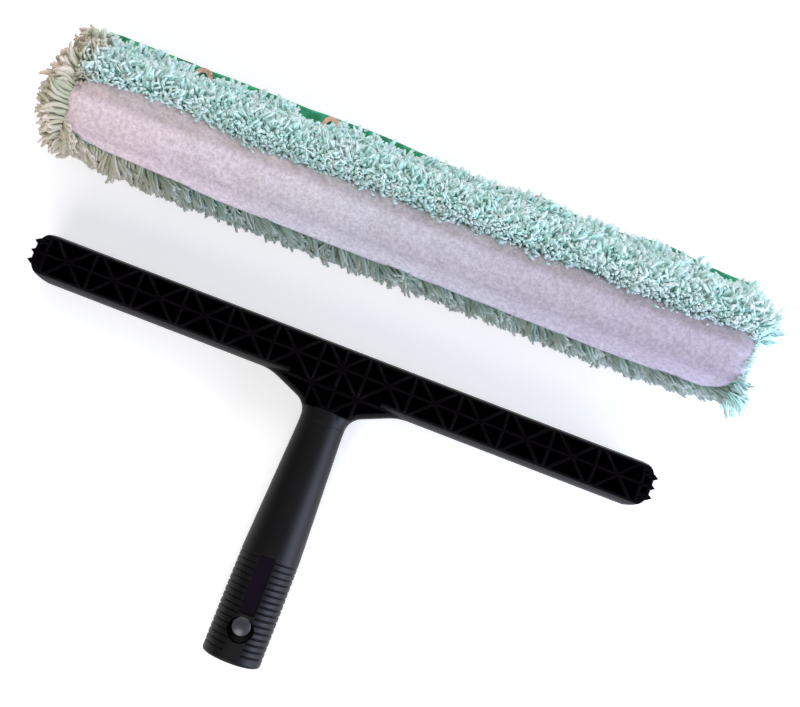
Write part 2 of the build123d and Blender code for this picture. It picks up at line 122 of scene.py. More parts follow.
def moulded_plastic(name, tones, edge_wear_and_highlight, roughness, shine, grain, grain_depth, edge_radius):
    """Plastic from an injection mould: satin, with a fine grain, and its edges painted paler: partly edge
    wear, partly a painted highlight where the edges catch the light.
    """
    material, place = start_material(name)
    flow_size = 14 * MM
    rough_low, rough_high = roughness - 0.05, roughness + 0.07
    flow = add_node(material, "ShaderNodeTexNoise", {"Vector": place, "Scale": 1 / flow_size, "Detail": 3})
    tone = add_node(
        material, "ShaderNodeValToRGB", {"Fac": flow.outputs["Fac"]}, list(zip((0.3, 0.7), tones))
    )
    pits = add_node(material, "ShaderNodeTexNoise", {"Vector": place, "Scale": 1 / grain, "Detail": 4})
    edge = add_node(material, "ShaderNodeBevel", {"Radius": edge_radius}, samples=8)
    face = add_node(material, "ShaderNodeNewGeometry")
    match = add_node(
        material,
        "ShaderNodeVectorMath",
        {0: edge.outputs[0], 1: face.outputs["True Normal"]},
        operation="DOT_PRODUCT",
    )
    # Painted highlight and edge wear: the edges that the bevel finds are painted paler
    edge_wear_and_highlight_mask = add_node(
        material,
        "ShaderNodeMapRange",
        {"Value": match.outputs["Value"], "From Min": 0.93, "From Max": 0.72, "To Max": 0.5},
    )
    edge_wear_and_highlight_tone = add_node(
        material,
        "ShaderNodeMix",
        {0: edge_wear_and_highlight_mask.outputs["Result"], 6: tone.outputs["Color"], 7: colour(edge_wear_and_highlight)},
        data_type="RGBA",
    )
    bump = add_node(
        material,
        "ShaderNodeBump",
        {"Strength": 0.35, "Distance": grain_depth, "Height": pits.outputs["Fac"], "Normal": edge.outputs[0]},
    )
    rough = add_node(
        material,
        "ShaderNodeMapRange",
        {"Value": pits.outputs["Fac"], "To Min": rough_low, "To Max": rough_high},
    )
    shader = add_node(
        material,
        "ShaderNodeBsdfPrincipled",
        {
            "Base Color": edge_wear_and_highlight_tone.outputs[2],
            "Roughness": rough.outputs["Result"],
            "IOR": 1.49,
            "Specular IOR Level": shine,
            "Normal": bump.outputs["Normal"],
        },
    )
    return finish_material(material, shader)


def worn_metal(name, dark, light, roughness):
    """Stamped and tumbled metal: satin, with faint stains that break up its shine."""
    material, place = start_material(name)
    stain_size, stain_depth = 1.6 * MM, 0.04 * MM
    rough_low, rough_high = roughness - 0.1, roughness + 0.15
    stain = add_node(
        material, "ShaderNodeTexNoise", {"Vector": place, "Scale": 1 / stain_size, "Detail": 5}
    )
    tone = add_node(
        material, "ShaderNodeValToRGB", {"Fac": stain.outputs["Fac"]}, [(0.35, dark), (0.65, light)]
    )
    rough = add_node(
        material,
        "ShaderNodeMapRange",
        {"Value": stain.outputs["Fac"], "To Min": rough_low, "To Max": rough_high},
    )
    bump = add_node(
        material, "ShaderNodeBump", {"Strength": 0.2, "Distance": stain_depth, "Height": stain.outputs["Fac"]}
    )
    shader = add_node(
        material,
        "ShaderNodeBsdfPrincipled",
        {
            "Base Color": tone.outputs["Color"],
            "Metallic": 1.0,
            "Roughness": rough.outputs["Result"],
            "Normal": bump.outputs["Normal"],
        },
    )
    return finish_material(material, shader)


def woven_canvas(name, dark, light, thread):
    """Plain-woven polyester canvas: matt, with threads over and under each other both ways."""
    material, place = start_material(name)
    fade_size, thread_depth = 7 * MM, 0.12 * MM
    weave_share = 0.3
    along, across = [
        add_node(
            material,
            "ShaderNodeTexWave",
            {"Vector": place, "Scale": wave_period / thread},
            bands_direction=way,
        )
        for way in ("X", "Y")
    ]
    weave = add_node(
        material, "ShaderNodeMath", {0: along.outputs["Fac"], 1: across.outputs["Fac"]}, operation="MULTIPLY"
    )
    fade = add_node(material, "ShaderNodeTexNoise", {"Vector": place, "Scale": 1 / fade_size, "Detail": 4})
    mix = add_node(
        material,
        "ShaderNodeMath",
        {0: weave.outputs[0], 1: weave_share, 2: fade.outputs["Fac"]},
        operation="MULTIPLY_ADD",
    )
    tone = add_node(
        material, "ShaderNodeValToRGB", {"Fac": mix.outputs[0]}, [(0.42, dark), (0.7, light)]
    )
    bump = add_node(
        material, "ShaderNodeBump", {"Strength": 0.6, "Distance": thread_depth, "Height": weave.outputs[0]}
    )
    shader = add_node(
        material,
        "ShaderNodeBsdfPrincipled",
        {
            "Base Color": tone.outputs["Color"],
            "Roughness": 0.85,
            "Sheen Weight": 0.15,
            "Normal": bump.outputs["Normal"],
        },
    )
    return finish_material(material, shader)


def needled_felt(name):
    """Needled scrub felt: a dull speckled nap, pinkish at the left end, lavender along the rest, with painted
    light and shade across its width.
    """
    material, place = start_material(name)
    drift_size, drift_share = 32 * MM, 0.25
    nap_size, nap_depth = 2.2 * MM, 0.5 * MM
    band_shade_width = 40 * MM
    ends = add_node(material, "ShaderNodeSeparateXYZ", {"Vector": place})
    drift = add_node(
        material, "ShaderNodeTexNoise", {"Vector": place, "Scale": 1 / drift_size, "Detail": 2}
    )
    along = add_node(
        material,
        "ShaderNodeMapRange",
        {"Value": ends.outputs["X"], "From Min": -half_lining, "From Max": half_lining, "To Max": 0.8},
    )
    shift = add_node(
        material,
        "ShaderNodeMath",
        {0: drift.outputs["Fac"], 1: drift_share, 2: along.outputs["Result"]},
        operation="MULTIPLY_ADD",
    )
    dye = add_node(
        material,
        "ShaderNodeValToRGB",
        {"Fac": shift.outputs[0]},
        [
            (0.1, "#FFE8E9"),
            (0.24, "#F8E6EA"),
            (0.45, "#DEDADE"),
            (0.68, "#CFC8CF"),
            (0.85, "#C7BDC8"),
            (0.96, "#C9C3D4"),
        ],
    )
    nap = add_node(
        material,
        "ShaderNodeTexNoise",
        {"Vector": place, "Scale": 1 / nap_size, "Detail": 6, "Roughness": 0.8},
    )
    speck = add_node(
        material,
        "ShaderNodeMapRange",
        {"Value": nap.outputs["Fac"], "From Min": 0.37, "From Max": 0.63, "To Min": 0.76, "To Max": 1.21},
    )
    # Painted light and shade across the band's width: lighter on the front strip, darker at the crease and
    # along the edge beside the pile
    down = add_node(
        material,
        "ShaderNodeMapRange",
        {"Value": ends.outputs["Y"], "From Min": sleeve_front, "From Max": sleeve_front + band_shade_width},
    )
    painted_band_shade = add_node(
        material,
        "ShaderNodeValToRGB",
        {"Fac": down.outputs["Result"]},
        [
            (0.13, "#F8F9FC"),
            (0.23, "#ECEAED"),
            (0.28, "#DBD9DC"),
            (0.36, "#DAD8DB"),
            (0.5, "#E4E4E6"),
            (0.66, "#E8E8EA"),
            (0.75, "#CDCACA"),
            (0.85, "#CCCCC8"),
        ],
    )
    tone = dye.outputs["Color"]
    for layer in (painted_band_shade.outputs["Color"], speck.outputs["Result"]):
        mixed = add_node(
            material, "ShaderNodeMix", {0: 1.0, 6: tone, 7: layer}, data_type="RGBA", blend_type="MULTIPLY"
        )
        tone = mixed.outputs[2]
    bump = add_node(
        material, "ShaderNodeBump", {"Strength": 0.9, "Distance": nap_depth, "Height": nap.outputs["Fac"]}
    )
    shader = add_node(
        material,
        "ShaderNodeBsdfPrincipled",
        {
            "Base Color": tone,
            "Roughness": 0.95,
            "Sheen Weight": 0.25,
            "Sheen Roughness": 0.6,
            "Normal": bump.outputs["Normal"],
        },
    )
    return finish_material(material, shader)


def acrylic_pile(name, codes, beige_tones, beige_from, beige_to, near_band):
    """Acrylic yarn: painted shade at the roots and painted light at the tips, beige between two
    places along X, and painted shade beside the band.

    The piece's own attribute gives each fibre's height and shade. near_band is the share of the
    light that is left beside the band, as painted shade.
    """
    material, place = start_material(name)
    patch_size, beige_drift, glow_depth = 15 * MM, 50 * MM, 1.2 * MM
    beige_start, beige_end = beige_from + beige_drift / 2, beige_to + beige_drift / 2
    shadow_start, shadow_end = sleeve_front + 35 * MM, sleeve_front + 43 * MM
    height_share, shade_share, patch_share, level_shift = 0.35, 0.35, 0.65, -0.06
    stops = (0.05, 0.35, 0.62, 0.9)
    fibre = add_node(material, "ShaderNodeAttribute", attribute_name="fibre")
    parts = add_node(material, "ShaderNodeSeparateXYZ", {"Vector": fibre.outputs["Vector"]})
    patch = add_node(
        material, "ShaderNodeTexNoise", {"Vector": place, "Scale": 1 / patch_size, "Detail": 3}
    )
    # Ramp level: painted shade at the roots and painted light at the tips, with each fibre's own tone and
    # patches
    level = level_shift
    for source, share in (
        (parts.outputs["X"], height_share),
        (parts.outputs["Y"], shade_share),
        (patch.outputs["Fac"], patch_share),
    ):
        added = add_node(
            material, "ShaderNodeMath", {0: source, 1: share, 2: level}, operation="MULTIPLY_ADD"
        )
        level = added.outputs[0]
    clean, beige_ramp = [
        add_node(material, "ShaderNodeValToRGB", {"Fac": level}, list(zip(stops, chosen)))
        for chosen in (codes, beige_tones)
    ]
    ends = add_node(material, "ShaderNodeSeparateXYZ", {"Vector": place})
    edge = add_node(
        material,
        "ShaderNodeMath",
        {0: patch.outputs["Fac"], 1: beige_drift, 2: ends.outputs["X"]},
        operation="MULTIPLY_ADD",
    )
    # Beige towards the left end, from one place along X to another
    beige_share = add_node(
        material,
        "ShaderNodeMapRange",
        {"Value": edge.outputs[0], "From Min": beige_start, "From Max": beige_end},
    )
    tone = add_node(
        material,
        "ShaderNodeMix",
        {0: beige_share.outputs["Result"], 6: clean.outputs["Color"], 7: beige_ramp.outputs["Color"]},
        data_type="RGBA",
    )
    # Painted shade beside the band
    beside = add_node(
        material,
        "ShaderNodeMapRange",
        {"Value": ends.outputs["Y"], "From Min": shadow_start, "From Max": shadow_end, "To Min": near_band},
    )
    shaded = add_node(
        material,
        "ShaderNodeMix",
        {0: 1.0, 6: tone.outputs[2], 7: beside.outputs["Result"]},
        data_type="RGBA",
        blend_type="MULTIPLY",
    )
    shader = add_node(
        material,
        "ShaderNodeBsdfPrincipled",
        {
            "Base Color": shaded.outputs[2],
            "Roughness": 0.8,
            "Sheen Weight": 0.3,
            "Sheen Roughness": 0.5,
            "Subsurface Weight": 0.5,
            "Subsurface Radius": (1, 1, 1),
            "Subsurface Scale": glow_depth,
        },
    )
    return finish_material(material, shader)


def sewing_thread(name, dark, light):
    """Spun polyester thread: two plies that show as slanted bands along each stitch."""
    material, place = start_material(name)
    ply_length = 0.5 * MM
    ply = add_node(
        material,
        "ShaderNodeTexWave",
        {"Vector": place, "Scale": wave_period / ply_length},
        bands_direction="DIAGONAL",
    )
    tone = add_node(
        material, "ShaderNodeValToRGB", {"Fac": ply.outputs["Fac"]}, [(0.2, dark), (0.8, light)]
    )
    shader = add_node(
        material, "ShaderNodeBsdfPrincipled", {"Base Color": tone.outputs["Color"], "Roughness": 0.7}
    )
    return finish_material(material, shader)


# Polypropylene of the head: almost no shine, and its ribs' edges painted grey, as a painted highlight and
# some edge wear
head_plastic = moulded_plastic(
    "satin_black_polypropylene", ("#030103", "#060306"), "#38323C", roughness=0.38, shine=0.04,
    grain=0.7 * MM, grain_depth=0.03 * MM, edge_radius=0.4 * MM,
)
# Polypropylene of the grip: a fine grain, so its highlight is broad and soft
grip_plastic = moulded_plastic(
    "grained_black_polypropylene", ("#030102", "#060304"), "#0A080C", roughness=0.46, shine=0.22,
    grain=0.5 * MM, grain_depth=0.04 * MM, edge_radius=0.4 * MM,
)
# Polypropylene of the cover: smoother, with a violet cast beside the grained grip
cover_plastic = moulded_plastic(
    "smooth_black_polypropylene", ("#0A050F", "#100817"), "#181020", roughness=0.4, shine=0.08,
    grain=1.0 * MM, grain_depth=0.02 * MM, edge_radius=0.3 * MM,
)
# Acetal of the button: dark grey, polished by thumbs, so its dome has a clear highlight
button_plastic = moulded_plastic(
    "polished_grey_acetal", ("#2A2B2F", "#38393E"), "#5A5C64", roughness=0.32, shine=0.6,
    grain=1.2 * MM, grain_depth=0.01 * MM, edge_radius=0.3 * MM,
)
spring_steel = worn_metal("tempered_spring_steel", "#8C8C90", "#B4B4B8", roughness=0.32)
# Brass plating: dulled to a pinkish gold
snap_brass = worn_metal("plated_brass_snaps", "#BE9684", "#EFCDBC", roughness=0.45)
# Canvas of the lips and the pocket, its threads drawn coarse enough to show
green_canvas = woven_canvas("green_woven_canvas", "#0F6A42", "#3DB98A", thread=0.9 * MM)
band_felt = needled_felt("lavender_scrub_felt")
# Pile from root to tip, painted darker at the roots and lighter at the tips: the mint, a darker copy as
# painted shade for the pile under the band, and beige towards the left end
mint_codes = ("#99DBC6", "#B2ECDD", "#CAF6EE", "#E4FDFA")
shade_codes = ("#446855", "#6A8A76", "#8B9F91", "#B4BEB4")
beige_codes = ("#7A9470", "#A8B38F", "#C8C2A8", "#E4D3C2")
mint_pile = acrylic_pile(
    "mint_acrylic_pile", mint_codes, beige_codes, beige_from=-178 * MM, beige_to=-192 * MM, near_band=0.6
)
# A darker copy of the mint pile: painted shade for the pile under the band
shade_pile = acrylic_pile(
    "painted_shade_mint_pile", shade_codes, beige_codes, beige_from=-110 * MM, beige_to=-175 * MM, near_band=1
)
end_pile = acrylic_pile(
    "end_acrylic_pile", mint_codes, beige_codes, beige_from=0, beige_to=-50 * MM, near_band=1
)
# Knitted backing: pale like the pile's roots, so that it doesn't show between the tufts
backing_knit = woven_canvas("knitted_pile_backing", "#9CD0C0", "#B4E4D6", thread=1.2 * MM)
lip_thread = sewing_thread("green_lip_thread", "#0F6A40", "#3DB888")


# Finished pieces

def add_piece(name, bm, material, body, replaces=()):
    """Turns a bmesh into a smooth piece that rides on a body and stands for the CAD nodes it replaces."""
    bmesh.ops.recalc_face_normals(bm, faces=bm.faces)
    mesh = bpy.data.meshes.new(name)
    bm.to_mesh(mesh)
    bm.free()
    mesh.polygons.foreach_set("use_smooth", [True] * len(mesh.polygons))
    return place_piece(name, mesh, material, body, replaces)


def place_piece(name, mesh, material, body, replaces=()):
    """Links a finished mesh to the scene as a piece of its body."""
    piece = bpy.data.objects.new(name, mesh)
    bpy.context.scene.collection.objects.link(piece)
    mesh.materials.append(material)
    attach(piece, body)
    if replaces:
        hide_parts(*replaces)
    return piece


def thicken(piece, depth, offset=1.0):
    """Gives a sheet its wall."""
    wall = piece.modifiers.new("wall", "SOLIDIFY")
    wall.thickness = depth
    wall.offset = offset


def lengths_along(line):
    """The length of a line from its start to each of its points."""
    return np.concatenate([[0], np.cumsum(np.hypot(*np.diff(line, axis=0).T))])


def rounded_path(corners, step):
    """Points along a run of corners (y, z, radius) whose turns are arcs, evenly spaced by a step."""
    arc_steps = 6
    places = [Vector(corners[0][:2])]
    for before, corner, after in zip(corners, corners[1:], corners[2:]):
        here = Vector(corner[:2])
        back = (Vector(before[:2]) - here).normalized()
        on = (Vector(after[:2]) - here).normalized()
        turn = math.pi - back.angle(on)
        centre = here + (back + on).normalized() * corner[2] / math.cos(turn / 2)
        spoke = here + back * corner[2] * math.tan(turn / 2) - centre
        way = 1 if back.x * on.y - back.y * on.x < 0 else -1
        for index in range(arc_steps + 1):
            places.append(centre + Matrix.Rotation(way * turn * index / arc_steps, 2) @ spoke)
    places.append(Vector(corners[-1][:2]))
    runs = np.array([tuple(point) for point in places])
    lengths = lengths_along(runs)
    even = np.linspace(0, lengths[-1], max(2, round(lengths[-1] / step)) + 1)
    return np.stack([np.interp(even, lengths, runs[:, axis]) for axis in (0, 1)], axis=1)


def sheet_grid(columns, rows, place):
    """A bmesh sheet: a grid over the unit square, with each vertex moved to place(u, v)."""
    bm = bmesh.new()
    bmesh.ops.create_grid(bm, x_segments=columns, y_segments=rows, size=0.5)
    for vertex in bm.verts:
        vertex.co = place(vertex.co.x + 0.5, vertex.co.y + 0.5)
    return bm


def ripple(x, y, wavelength, seed):
    """Smooth noise on two coordinates, mostly from -1 to 1: a few sine waves in seeded directions."""
    waves = np.random.default_rng(seed)
    paces = (1, 1.3, 0.7, 1.8, 0.9)
    turns = waves.uniform(0, math.tau, len(paces))
    phases = waves.uniform(0, math.tau, len(paces))
    usual_height = 3
    total = 0
    for turn, phase, pace in zip(turns, phases, paces):
        along = x * math.cos(turn) + y * math.sin(turn)
        total = total + np.sin(math.tau * pace / wavelength * along + phase)
    return total / usual_height


def ramp(value, start, span):
    """A share that grows from 0 to 1 over a span from a start."""
    return np.clip((value - start) / span, 0, 1)


def hump(value, middle, width):
    """A smooth hump of height 1 at a middle, which is nearly gone two widths away."""
    return np.exp(-((value - middle) / width) ** 2)


# Camera at the photograph's viewing angle
bar_half_height = 12.7 * MM
view_offset = Vector((25.3 * MM, 20.2 * MM, 0))
elevation = math.radians(83.28)
azimuth = math.radians(-3.77)
roll = math.radians(17.31)
distance = 616.3 * MM
bar_centre = Vector((
    (bar_low.x + bar_high.x) / 2,
    bar_high.y - bar_half_height,
    (bar_low.z + bar_high.z) / 2,
))
back_way = Vector((
    -math.sin(azimuth) * math.cos(elevation),
    -math.cos(azimuth) * math.cos(elevation),
    math.sin(elevation),
))
level = Vector((math.cos(azimuth), -math.sin(azimuth), 0))
upright = back_way.cross(level)
turned = Matrix((
    math.cos(roll) * level + math.sin(roll) * upright,
    math.cos(roll) * upright - math.sin(roll) * level,
    back_way,
)).transposed()
eye = bar_centre + view_offset + back_way * distance
camera_data = bpy.data.cameras.new("camera")
camera_data.sensor_width = 36
camera_data.lens = 51.3
camera_data.clip_start = 0.01
camera = bpy.data.objects.new("camera", camera_data)
camera.matrix_world = Matrix.Translation(eye) @ turned.to_4x4()
bpy.context.scene.collection.objects.link(camera)
bpy.context.scene.camera = camera


# Light: a broad lamp from the right, soft ones behind and in front, a small one for the grip,
# and an even sky
def add_lamp(name, place, target, size, power, code):
    """A square soft lamp at a place, aimed at a target."""
    lamp = bpy.data.lights.new(name, "AREA")
    lamp.size = size
    lamp.energy = power
    lamp.color = colour(code)[:3]
    holder = bpy.data.objects.new(name, lamp)
    way = (Vector(place) - Vector(target)).to_track_quat("Z", "Y")
    holder.matrix_world = Matrix.Translation(place) @ way.to_matrix().to_4x4()
    bpy.context.scene.collection.objects.link(holder)


middle = Vector((0, 0.04, 0.02))
grip_middle = Vector((0, -0.09, 0.02))
add_lamp("side_lamp", (0.95, 0.0, 0.26), middle, size=0.7, power=12.0, code="#DAE3FF")
add_lamp("back_lamp", (-0.1, 0.95, 0.65), middle, size=0.9, power=6.5, code="#FFFDFA")
add_lamp("front_lamp", (-0.1, -0.85, 0.8), middle, size=0.6, power=6.5, code="#FFFAF6")
add_lamp("grip_lamp", (0.45, -0.22, 0.14), grip_middle, size=0.22, power=1.0, code="#C4D2FF")


def seen_by(material, other_ray):
    """1 where the camera or one other kind of ray sees this, and 0 where it only gives light."""
    rays = add_node(material, "ShaderNodeLightPath")
    both = {0: rays.outputs["Is Camera Ray"], 1: rays.outputs[other_ray]}
    return add_node(material, "ShaderNodeMath", both, operation="MAXIMUM").outputs[0]


# Sky: dim for the light that it gives, and white where the camera sees it
white = (1, 1, 1, 1)
black = (0, 0, 0, 1)
world = bpy.data.worlds.new("studio")
bpy.context.scene.world = world
world.use_nodes = True
world.node_tree.nodes.clear()
sky_seen = seen_by(world, "Is Transmission Ray")
dim_sky = add_node(world, "ShaderNodeBackground", {"Color": colour("#F4F6FF"), "Strength": 0.36})
white_sky = add_node(world, "ShaderNodeBackground", {"Color": white, "Strength": 1.0})
sky = add_node(
    world, "ShaderNodeMixShader", {0: sky_seen, 1: dim_sky.outputs[0], 2: white_sky.outputs[0]}
)
add_node(world, "ShaderNodeOutputWorld", {"Surface": sky.outputs[0]})

# Pale floor, a little under the object, that keeps its shadow and looks nearly white
floor_reach = 3
floor_gap = 0.2 * MM
lift_share = 0.45
floor_mesh = bmesh.new()
bmesh.ops.create_grid(floor_mesh, x_segments=1, y_segments=1, size=floor_reach)
bmesh.ops.translate(floor_mesh, verts=floor_mesh.verts, vec=(0, 0, cad_box[0][2] - floor_gap))
floor_data = bpy.data.meshes.new("floor")
floor_mesh.to_mesh(floor_data)
floor_mesh.free()
floor = bpy.data.objects.new("floor", floor_data)
bpy.context.scene.collection.objects.link(floor)
floor_paint = start_material("pale_floor")[0]
floor_seen = seen_by(floor_paint, "Is Glossy Ray")
floor_matt = add_node(floor_paint, "ShaderNodeBsdfDiffuse", {"Color": colour("#E8E8E8")})
floor_lift = add_node(floor_paint, "ShaderNodeEmission", {"Color": white, "Strength": floor_seen})
floor_dim = add_node(floor_paint, "ShaderNodeEmission", {"Color": black})
floor_share = add_node(
    floor_paint, "ShaderNodeMixShader", {0: lift_share, 1: floor_dim.outputs[0], 2: floor_lift.outputs[0]}
)
floor_sum = add_node(
    floor_paint, "ShaderNodeAddShader", {0: floor_matt.outputs[0], 1: floor_share.outputs[0]}
)
finish_material(floor_paint, floor_sum)
floor_data.materials.append(floor_paint)

# CAD nodes that stay, in their real finishes
for name, material in (
    ("t_bar_head", head_plastic),
    ("handle_grip", grip_plastic),
    ("spring_cover", cover_plastic),
    ("lock_button", button_plastic),
    ("button_spring", spring_steel),
    ("spring_rivet", spring_steel),
    ("snap_rings", snap_brass),
    ("snap_sockets", snap_brass),
    ("snap_studs", snap_brass),
    ("snap_posts", snap_brass),
):
    nodes[name].data.materials.clear()
    nodes[name].data.materials.append(material)

# The head's round neck is as grained as the grip that it meets
neck_length = 6.3 * MM
head_skin = nodes["t_bar_head"].data
head_skin.materials.append(grip_plastic)
neck_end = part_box("handle_grip")[1].y + neck_length
for face in head_skin.polygons:
    if (nodes["t_bar_head"].matrix_world @ face.center).y < neck_end:
        face.material_index = 1

# Sleeve sections, as places (y, z) with y measured from the front wall of the pile
pile_width = pile_high.y - sleeve_front
upper_level = tape_high.z
upper_under = tape_low.z
lower_level = under_low.z
lower_over = under_high.z
tape_start = tape_low.y - sleeve_front
tip = tape_high.y - sleeve_front
snap_places = [side * reach for side in (-1, 1) for reach in (58.5 * MM, 132 * MM)]
ring_radius = (ring_high.y - ring_low.y) / 2

# Slack of the lips: where it begins, how fast it grows, and how far each snap holds it
lip_start = 50 * MM
slack_start = 52 * MM
slack_fade = 12 * MM
slack_height = 0.7 * MM
slack_wave = 60 * MM
slack_hold = 11 * MM

# Edge of the lips: rounded at the corners, and drawn in along the right half
lip_corner = 7 * MM
drawn_in = 3.2 * MM
drawn_hold = 18 * MM
right_fade = 60 * MM


def free_of_snaps(x, hold):
    """How free a lip is: not at all at the snaps, and nearly wholly away from them."""
    return np.prod([1 - hump(x, place, hold) for place in snap_places], axis=0)


def lip_wave(x, y, height):
    """How far the slack lip lifts or sags: nothing at the snaps, and nothing inside the sleeve."""
    free = ramp(y, slack_start, slack_fade)
    from_ends = ramp(half_lining - np.abs(x), 0, slack_fade)
    return height * free * free_of_snaps(x, slack_hold) * from_ends * ripple(x, 0, slack_wave, seed=5)


def lip_cut(x):
    """How far the lips' edge is drawn in: at the rounded corners, and between the right half's snaps."""
    past = np.clip(np.abs(x) - (half_lining - lip_corner), 0, lip_corner)
    corner = lip_corner - np.sqrt(lip_corner**2 - past**2)
    return corner + drawn_in * free_of_snaps(x, drawn_hold) * ramp(x / right_fade, -0.5, 1)


def sleeve_place(x, y, z):
    """A place on the sleeve from its section's coordinates."""
    return Vector((x, sleeve_front + y, z))


def lip_place(x, y, z):
    """A place on a lip, with the slack's waves and its edge drawn in."""
    out = ramp(y, lip_start, tip - lip_start)
    return sleeve_place(x, y - lip_cut(x) * out, z + lip_wave(x, y, slack_height))


# Canvas lining: the pocket's skin, from the tip of the upper lip round to the tip of the lower one
lining_tip = tip - 1.5 * MM
lining_low = lower_over - 1.2 * MM
lining_high = upper_under + 1.2 * MM
mouth, mouth_turn = 50.5 * MM, 4 * MM
pocket_front, pocket_back = 10.2 * MM, 44.3 * MM
pocket_low, pocket_high, pocket_turn = 7.7 * MM, 42.3 * MM, 9 * MM
canvas_depth = 0.9 * MM
sag_height, sag_wave, sag_length = 0.5 * MM, 45 * MM, 0.15
lining_line = rounded_path(
    [
        (lining_tip, lining_high, 0),
        (mouth, lining_high, mouth_turn),
        (pocket_back, pocket_high, pocket_turn),
        (pocket_front, pocket_high, pocket_turn),
        (pocket_front, pocket_low, pocket_turn),
        (pocket_back, pocket_low, pocket_turn),
        (mouth, lining_low, mouth_turn),
        (lining_tip, lining_low, 0),
    ],
    step=2.5 * MM,
)


def lining_place(u, v):
    """The lining's surface: along the sleeve by u and round its section by v."""
    x = (2 * u - 1) * half_lining
    y, z = lining_line[round(v * (len(lining_line) - 1))]
    sag = sag_height * ripple(x, v * sag_length, sag_wave, seed=3) if y < lip_start else 0
    return lip_place(x, y, z + sag)


lining_mesh = sheet_grid(120, len(lining_line) - 1, lining_place)
ends = [
    edge
    for edge in lining_mesh.edges
    if edge.is_boundary and min(abs(vertex.co.x) for vertex in edge.verts) > half_lining - MM / 10
]
for side in (-1, 1):
    rim = [edge for edge in ends if edge.verts[0].co.x * side > 0]
    tips = [
        vertex
        for edge in rim
        for vertex in edge.verts
        if len([other for other in vertex.link_edges if other in rim]) == 1
    ]
    rim.append(lining_mesh.edges.new(tips))
    bmesh.ops.contextual_create(lining_mesh, geom=rim)
lining = add_piece("pocket_lining", lining_mesh, green_canvas, "sleeve", ["sleeve_lining"])
thicken(lining, canvas_depth)

# Tape folded round each lip, with rows of stitches
tape_depth = 0.8 * MM
tape_inset = 0.45 * MM
fold_radius = 1.1 * MM
fray_height, fray_wave, fray_reach = 0.35 * MM, 26 * MM, 5 * MM
stitch_pitch = 3.0 * MM
thread_radius = 0.3 * MM
stitch_shape = (3.6, 1, 0.7)
edge_row = tip - 2.2 * MM
inner_row = tape_start + 2 * MM


def add_tape(name, low, high, node):
    """The tape of one lip: out along its upper face, round the tip, and back along its lower face."""
    line = rounded_path(
        [
            (tape_start, high - tape_inset, 0),
            (tip - tape_inset, high - tape_inset, fold_radius),
            (tip - tape_inset, low + tape_inset, fold_radius),
            (tape_start, low + tape_inset, 0),
        ],
        step=1.3 * MM,
    )

    def tape_place(u, v):
        x = (2 * u - 1) * half_lining
        y, z = line[round(v * (len(line) - 1))]
        fray = fray_height * ripple(x, z, fray_wave, seed=8) * ramp(y - tip + fray_reach, 0, fray_reach)
        return lip_place(x, y + min(0, fray), z)

    grid = sheet_grid(190, len(line) - 1, tape_place)
    tape = add_piece(name, grid, green_canvas, "sleeve", [node])
    thicken(tape, tape_depth, 0.0)
    return tape, float(lengths_along(line)[-1])


def add_stitches(name, level, rows):
    """Rows of lockstitches along a lip, each a short bead pressed into the tape."""
    bm = bmesh.new()
    for row in rows:
        for x in np.arange(-half_pocket + stitch_pitch, half_pocket - stitch_pitch, stitch_pitch):
            if min(abs(x - place) for place in snap_places) < ring_radius + MM:
                continue
            made = bmesh.ops.create_icosphere(bm, subdivisions=1, radius=thread_radius)["verts"]
            bmesh.ops.scale(bm, verts=made, vec=stitch_shape)
            bmesh.ops.translate(bm, verts=made, vec=lip_place(x, row, level))
    return add_piece(name, bm, lip_thread, "sleeve")


for name, low, high, face, rows in (
    ("upper_lip", upper_under, upper_level, upper_level, (edge_row, inner_row)),
    ("lower_lip", lower_level, lower_over, lower_level, (edge_row,)),
):
    tape, width = add_tape(f"{name}_tape", low, high, f"{name}_binding")
    stitches = add_stitches(f"{name}_stitches", face, rows)

# Knitted backing that carries the pile, from the upper lip round to the lower one
knit_depth = 0.8 * MM
knit_tip = tape_start + 1.5 * MM
knit_over = upper_level + 0.6 * MM
knit_under = lower_level - 0.6 * MM
knit_mouth, knit_mouth_turn = 49 * MM, 2 * MM
knit_back, knit_back_turn = 47.5 * MM, 10 * MM
knit_low, knit_high = 6.0 * MM, 44.9 * MM
knit_front_high, knit_shoulder = 7.5 * MM, 14 * MM
knit_front_low, knit_foot = 7.0 * MM, 11 * MM
backing_line = rounded_path(
    [
        (knit_tip, knit_over, 0),
        (knit_mouth, knit_over, knit_mouth_turn),
        (knit_back, knit_high, knit_back_turn),
        (knit_front_high, knit_high, knit_shoulder),
        (knit_front_low, knit_low, knit_foot),
        (knit_back, knit_low, knit_back_turn),
        (knit_mouth, knit_under, knit_mouth_turn),
        (knit_tip, knit_under, 0),
    ],
    step=1.5 * MM,
)
backing_steps = np.gradient(backing_line, axis=0)
backing_steps /= np.linalg.norm(backing_steps, axis=1)[:, None]
backing_normals = np.stack([backing_steps[:, 1], -backing_steps[:, 0]], axis=1)
backing_lengths = lengths_along(backing_line)
last_run = backing_lengths[-1]


def backing_place(u, v):
    """The pile's backing: along the sleeve by u and round its section by v."""
    y, z = backing_line[round(v * (len(backing_line) - 1))]
    return sleeve_place((2 * u - 1) * half_lining, y, z)


backing_mesh = sheet_grid(60, len(backing_line) - 1, backing_place)
backing = add_piece("pile_backing", backing_mesh, backing_knit, "sleeve")
thicken(backing, knit_depth, 0.0)

